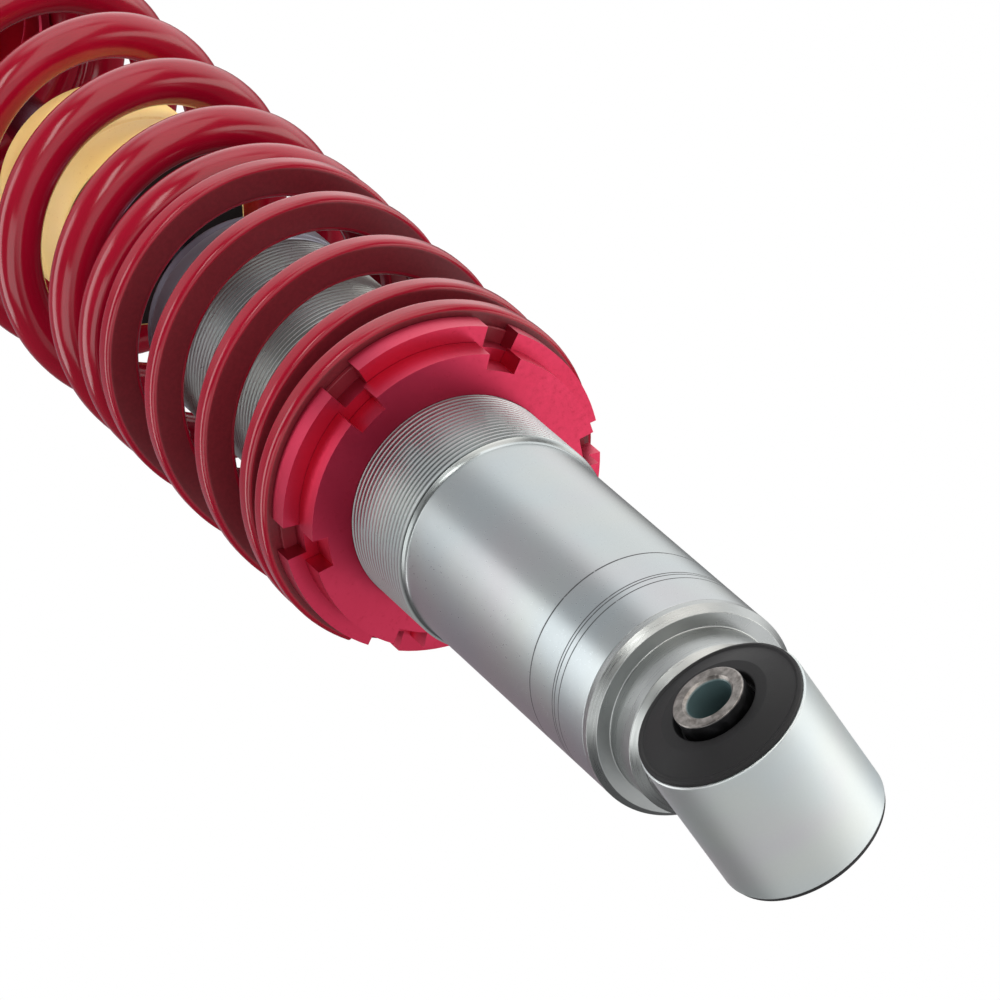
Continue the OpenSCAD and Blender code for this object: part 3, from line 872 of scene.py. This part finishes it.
seat = lathe(
    "turned_upper_seat",
    [
        (5.05, 464, 0.1),
        (27.5, 464, 0.4),
        (27.5, 454.6, 0.4),
        (28.1, 454, 0.4),
        (30.2, 454, 0.5),
        (30.8, 454.8, 0.4),
        (30.8, 464, 0.6),
        (41.4, 464, 0.4),
        (42, 464.7, 0.4),
        (42, 469.2, 0.6),
        (41.2, 470, 0.5),
        (37, 470, 0.5),
        (37, 468, 0.5),
        (27, 468, 0.5),
        (27, 470, 0.5),
        (5.05, 470, 0.2),
    ],
)
place(seat, m_anodised, "rod_assembly", "anodised_red", "upper_seat")

isolator = lathe(
    "rubber_isolator",
    [(30.85, 462.05, 0.3), (42.7, 462.05, 0.7), (42.7, 463.95, 0.7), (30.85, 463.95, 0.3)],
)
place(isolator, m_rubber, "rod_assembly", "bush_rubber", "upper_isolator")

STEM_BORE_R = 5.02
bump_plate = lathe(
    "bump_plate", [(STEM_BORE_R, 462.5, 0.1), (20, 462.5, 0.4), (20, 464, 0.4), (STEM_BORE_R, 464, 0.1)]
)
place(bump_plate, m_plain, "rod_assembly", "plain_steel", "bump_washer")

spacer = lathe(
    "turned_spacer",
    [(STEM_BORE_R, 470, 0.1), (7, 470, 0.4), (7, 476, 0.4), (STEM_BORE_R, 476, 0.1)],
    segments=96,
)
place(spacer, m_plain, "rod_assembly", "plain_steel", "rod_spacer")

BALL_Z, BALL_R, BALL_HALF, RACE_R, RACE_HALF = 485, 11, 9, 11.05, 6


def ball_arc(radius, half, steps):
    """Points up a ball's side, from half below its middle to half above it."""
    widest = math.asin(half / radius)
    leans = [widest * (2 * k / steps - 1) for k in range(steps + 1)]
    return [(radius * math.cos(lean), BALL_Z + radius * math.sin(lean), 0) for lean in leans]


ball_side = ball_arc(BALL_R, BALL_HALF, 24)
ball = lathe(
    "polished_ball",
    [(STEM_BORE_R, BALL_Z - BALL_HALF, 0.1), *ball_side, (STEM_BORE_R, BALL_Z + BALL_HALF, 0.1)],
    segments=96,
)
place(ball, m_chrome, "rod_assembly", "hard_chrome", "pivot_ball", flat=False)

top_washer = lathe(
    "nut_washer",
    [(STEM_BORE_R, 494, 0.1), (10, 494, 0.3), (10, 496, 0.5), (STEM_BORE_R, 496, 0.1)],
    segments=96,
)
place(top_washer, m_plain, "rod_assembly", "plain_steel", "rod_washer")

NUT_FLATS = 17
nut_verts, nut_faces = skin(hex_rows(NUT_FLATS, 496, 505, STEM_BORE_R), 144)
nut = finish_mesh("rod_hex_nut", nut_verts, nut_faces, 25)
place(nut, m_thread, "rod_assembly", "plain_steel", "rod_nut")

race_side = [(16, BALL_Z - RACE_HALF, 0.4), (16, BALL_Z + RACE_HALF, 0.4)]
race = lathe("bearing_outer", race_side + ball_arc(RACE_R, RACE_HALF, 16)[::-1], segments=128)
place(race, m_plain, "top_mount", "plain_steel", "bearing_race", flat=False)

plate = lathe(
    "turned_mount_plate",
    [
        (13, 476, 0.3),
        (22.2, 476, 0.3),
        (23, 476.8, 0.3),
        (23, 480, 0.9),
        (49, 480, 0.3),
        (50, 481, 0.4),
        (50, 487, 0.4),
        (49, 488, 0.3),
        (23, 488, 0.9),
        (23, 493.2, 0.3),
        (22.2, 494, 0.3),
        (16.9, 494, 0.4),
        (16.9, 491.2, 0.1),
        (16.05, 491.05, 0.1),
        (16.05, 478.95, 0.1),
        (13, 478.95, 0.3),
    ],
    segments=192,
)
place(plate, m_anodised, "top_mount", "anodised_red", "mount_plate")

STUDS, STUD_CIRCLE_R, FIRST_STUD = 3, 39, 90
STUD_FOOT = [
    (0, 478.5, 0),
    (7, 478.5, 0.3),
    (7, 480, 0.3),
    (4.4, 480, 0),
    (4.4, 488, 0.1),
    (3.98, 488.3, 0.1),
    (3.9, 490, 0),
]
for i in range(STUDS):
    turn = math.radians(FIRST_STUD + 360 / STUDS * i)
    stud = threaded(
        f"threaded_stud_{i + 1}",
        STUD_FOOT,
        thread_rows(3.99, 3.35, 1.25, 490, 512.2, 3.9, 3.35),
        [(3.2, 513, 0.3), (0, 513, 0)],
        segments=72,
    )
    shifted(stud, x=STUD_CIRCLE_R * math.cos(turn), y=STUD_CIRCLE_R * math.sin(turn))
    place(stud, m_thread, "top_mount", "zinc_steel", *(["mount_studs"] if i == 0 else []), flat=False)

# ------------------------------------------------------------------ carried-over nodes

KEPT = {
    "pressure_tube": m_plain,
    "base_valve": m_sinter,
    "rod_guide": m_guide,
    "guide_bush": m_bronze,
    "rod_seal": m_rubber,
    "piston": m_sinter,
    "piston_band": m_bronze,
    "valve_shims": m_plain,
    "piston_nut": m_plain,
    "rebound_stop": m_rubber,
    "race_circlip": m_thread,
}
for name, material in KEPT.items():
    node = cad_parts[name]
    node.data.materials.clear()
    node.data.materials.append(material)

# ------------------------------------------------------------------ floor, world and lights

# The floor's height and how far it reaches each way, in metres.
FLOOR_Z, REACH = -0.0203, 6.0
floor_mesh = bpy.data.meshes.new("floor")
floor_mesh.from_pydata(
    [(-REACH, -REACH, FLOOR_Z), (REACH, -REACH, FLOOR_Z), (REACH, REACH, FLOOR_Z), (-REACH, REACH, FLOOR_Z)],
    [],
    [(0, 1, 2, 3)],
)
floor = bpy.data.objects.new("floor", floor_mesh)
scene.collection.objects.link(floor)
floor.visible_shadow = False
floor.visible_diffuse = False
floor.visible_glossy = False
floor.visible_transmission = False
ground = Surface("pale_floor")
patches = ground.remap(ground.noise(1.2, 2), 0.4, 0.6)
ground.set(Base_Color=ground.blend(patches, (0.86, 0.86, 0.86, 1), (0.88, 0.88, 0.87, 1)), Roughness=0.9)
see_through = ground.add("ShaderNodeBsdfTransparent")
back_face = ground.add("ShaderNodeNewGeometry").outputs["Backfacing"]
one_sided = ground.add("ShaderNodeMixShader")
ground.feed(one_sided.inputs[0], back_face)
ground.feed(one_sided.inputs[1], ground.shader.outputs[0])
ground.feed(one_sided.inputs[2], see_through.outputs[0])
ground.feed(ground.tree.nodes["Material Output"].inputs["Surface"], one_sided.outputs[0])
floor.data.materials.append(ground.material)

# The studio round the object, painted in this order. A spot is east, north, inner and outer angle and
# colour; a panel is east, north, half width, half height, roll, softness of its edge and colour.
STUDIO = (
    ("spot", (0, 90, 12, 30, (2.6, 2.6, 2.6))),
    ("spot", (-115, 40, 8, 34, (0.8, 0.8, 0.82))),
    ("spot", (118, 42, 10, 40, (1.9, 1.9, 1.9))),
    ("spot", (180, 52, 14, 40, (1.6, 1.6, 1.6))),
    ("spot", (12, -8, 8, 40, (1.45, 1.45, 1.45))),
    ("panel", (-98, -6, 12, 34, -14, 0.05, (3.9, 3.9, 3.9))),
    ("panel", (-151, -4, 29, 20, -14, 0.04, (0.36, 0.29, 0.33))),
    ("panel", (86, 10, 24, 8, 24, 0.08, (3.2, 3.1, 2.95))),
    ("panel", (34, 39, 21, 26, -14, 0.04, (2.3, 2.2, 2.1))),
    ("panel", (-18, 34, 5, 15, 20, 0.04, (8.0, 7.9, 7.6))),
    ("panel", (-37, -30, 17, 19, -24, 0.06, (2.7, 2.72, 2.7))),
)

world = bpy.data.worlds.new("studio")
scene.world = world
world.use_nodes = True
tree = world.node_tree
tree.nodes.clear()


def world_node(kind, **settings):
    node = tree.nodes.new(kind)
    for key, value in settings.items():
        setattr(node, key, value)
    return node


direction = world_node("ShaderNodeTexCoord").outputs["Generated"]


def world_link(kind, *values, result=0, **settings):
    """A node of the world fed in order by sockets or plain values. Returns its output."""
    node = world_node(kind, **settings)
    for socket, value in zip(node.inputs, values):
        if isinstance(value, bpy.types.NodeSocket):
            tree.links.new(value, socket)
        else:
            socket.default_value = value
    return node.outputs[result]


def along(vector):
    """How far the looked-at direction points along a vector, from -1 to 1."""
    return world_link("ShaderNodeVectorMath", direction, vector, result="Value", operation="DOT_PRODUCT")


def fade(value, low, high):
    """0 at low, 1 at high and smooth between them."""
    return world_link("ShaderNodeMapRange", value, low, high, 0.0, 1.0, interpolation_type="SMOOTHSTEP")


def repaint(level, share, colour):
    """The surroundings with a colour laid over them by a share."""
    mix = world_node("ShaderNodeMix", data_type="RGBA")
    tree.links.new(share, mix.inputs["Factor"])
    tree.links.new(level, mix.inputs["A"])
    mix.inputs["B"].default_value = (*colour, 1)
    return next(socket for socket in mix.outputs if socket.type == "RGBA")


def panel(level, east, north, half_w, half_h, roll, soft, colour):
    """Paints a soft-edged rectangle of the studio. Angles are in degrees: east is counted round the
    camera's up direction from the side where the camera is, and north above its level plane."""
    lon, lat, tilt = map(math.radians, (east, north, roll))
    centre = (math.cos(lat) * math.sin(lon), math.sin(lat), math.cos(lat) * math.cos(lon))
    across = Vector((math.cos(lon), 0, -math.sin(lon)))
    upward = Vector((-math.sin(lat) * math.sin(lon), math.cos(lat), -math.sin(lat) * math.cos(lon)))
    side = across * math.cos(tilt) + upward * math.sin(tilt)
    rise = upward * math.cos(tilt) - across * math.sin(tilt)
    share = fade(along(from_camera(*centre)), 0.0, 0.02)
    for vector, half in ((side, half_w), (rise, half_h)):
        away = world_link("ShaderNodeMath", along(from_camera(*vector)), operation="ABSOLUTE")
        edge = math.sin(math.radians(half))
        inside = fade(away, edge + soft / 2, max(edge - soft / 2, 0))
        share = world_link("ShaderNodeMath", share, inside, operation="MULTIPLY")
    return repaint(level, share, colour)


def spot(level, east, north, inner, outer, colour):
    """Paints a soft round patch of the studio, inner and outer in degrees from its middle."""
    lon, lat = math.radians(east), math.radians(north)
    centre = (math.cos(lat) * math.sin(lon), math.sin(lat), math.cos(lat) * math.cos(lon))
    low, high = math.cos(math.radians(outer)), math.cos(math.radians(inner))
    return repaint(level, fade(along(from_camera(*centre)), low, high), colour)


room = world_node("ShaderNodeRGB")
room.outputs[0].default_value = (0.14, 0.14, 0.145, 1)
level = room.outputs[0]
for shape, values in STUDIO:
    level = (spot if shape == "spot" else panel)(level, *values)

lit = world_node("ShaderNodeBackground")
tree.links.new(level, lit.inputs["Color"])
white = world_node("ShaderNodeBackground")
white.inputs["Color"].default_value = (1, 1, 1, 1)
seen = world_node("ShaderNodeLightPath").outputs["Is Camera Ray"]
both = world_node("ShaderNodeMixShader")
tree.links.new(seen, both.inputs[0])
tree.links.new(lit.outputs[0], both.inputs[1])
tree.links.new(white.outputs[0], both.inputs[2])
tree.links.new(both.outputs[0], world_node("ShaderNodeOutputWorld").inputs["Surface"])

# The cards stand too near the floor to light it evenly, so they leave it out.
unlit = bpy.data.collections.new("unlit_by_cards")
unlit.objects.link(floor)
unlit.collection_objects[0].light_linking.link_state = "EXCLUDE"


def card(name, anchor, east, north, distance, sideways, size, radiance):
    """A small square reflector near the object, facing an anchor point. east and north are in degrees, as
    for a panel. sideways moves it to the camera's right. The distances and the size are in metres."""
    lon, lat = math.radians(east), math.radians(north)
    towards = from_camera(math.cos(lat) * math.sin(lon), math.sin(lat), math.cos(lat) * math.cos(lon))
    lamp = bpy.data.lights.new(name, "AREA")
    lamp.shape = "SQUARE"
    lamp.size = size
    lamp.energy = radiance * math.pi * size * size
    holder = bpy.data.objects.new(name, lamp)
    scene.collection.objects.link(holder)
    holder.location = Vector(anchor) * MM + towards * distance + CAM_RIGHT * sideways
    holder.rotation_mode = "QUATERNION"
    holder.rotation_quaternion = towards.to_track_quat("Z", "Y")
    holder.visible_camera = False
    holder.light_linking.receiver_collection = unlit


card("low_card", (0, 0, 10), 49, -62, 0.17, 0.0, 0.38, 0.62)
card("side_card", (0, 0, 150), 70, -24, 0.2, 0.07, 0.2, 1.4)

scene.view_settings.view_transform = "Standard"
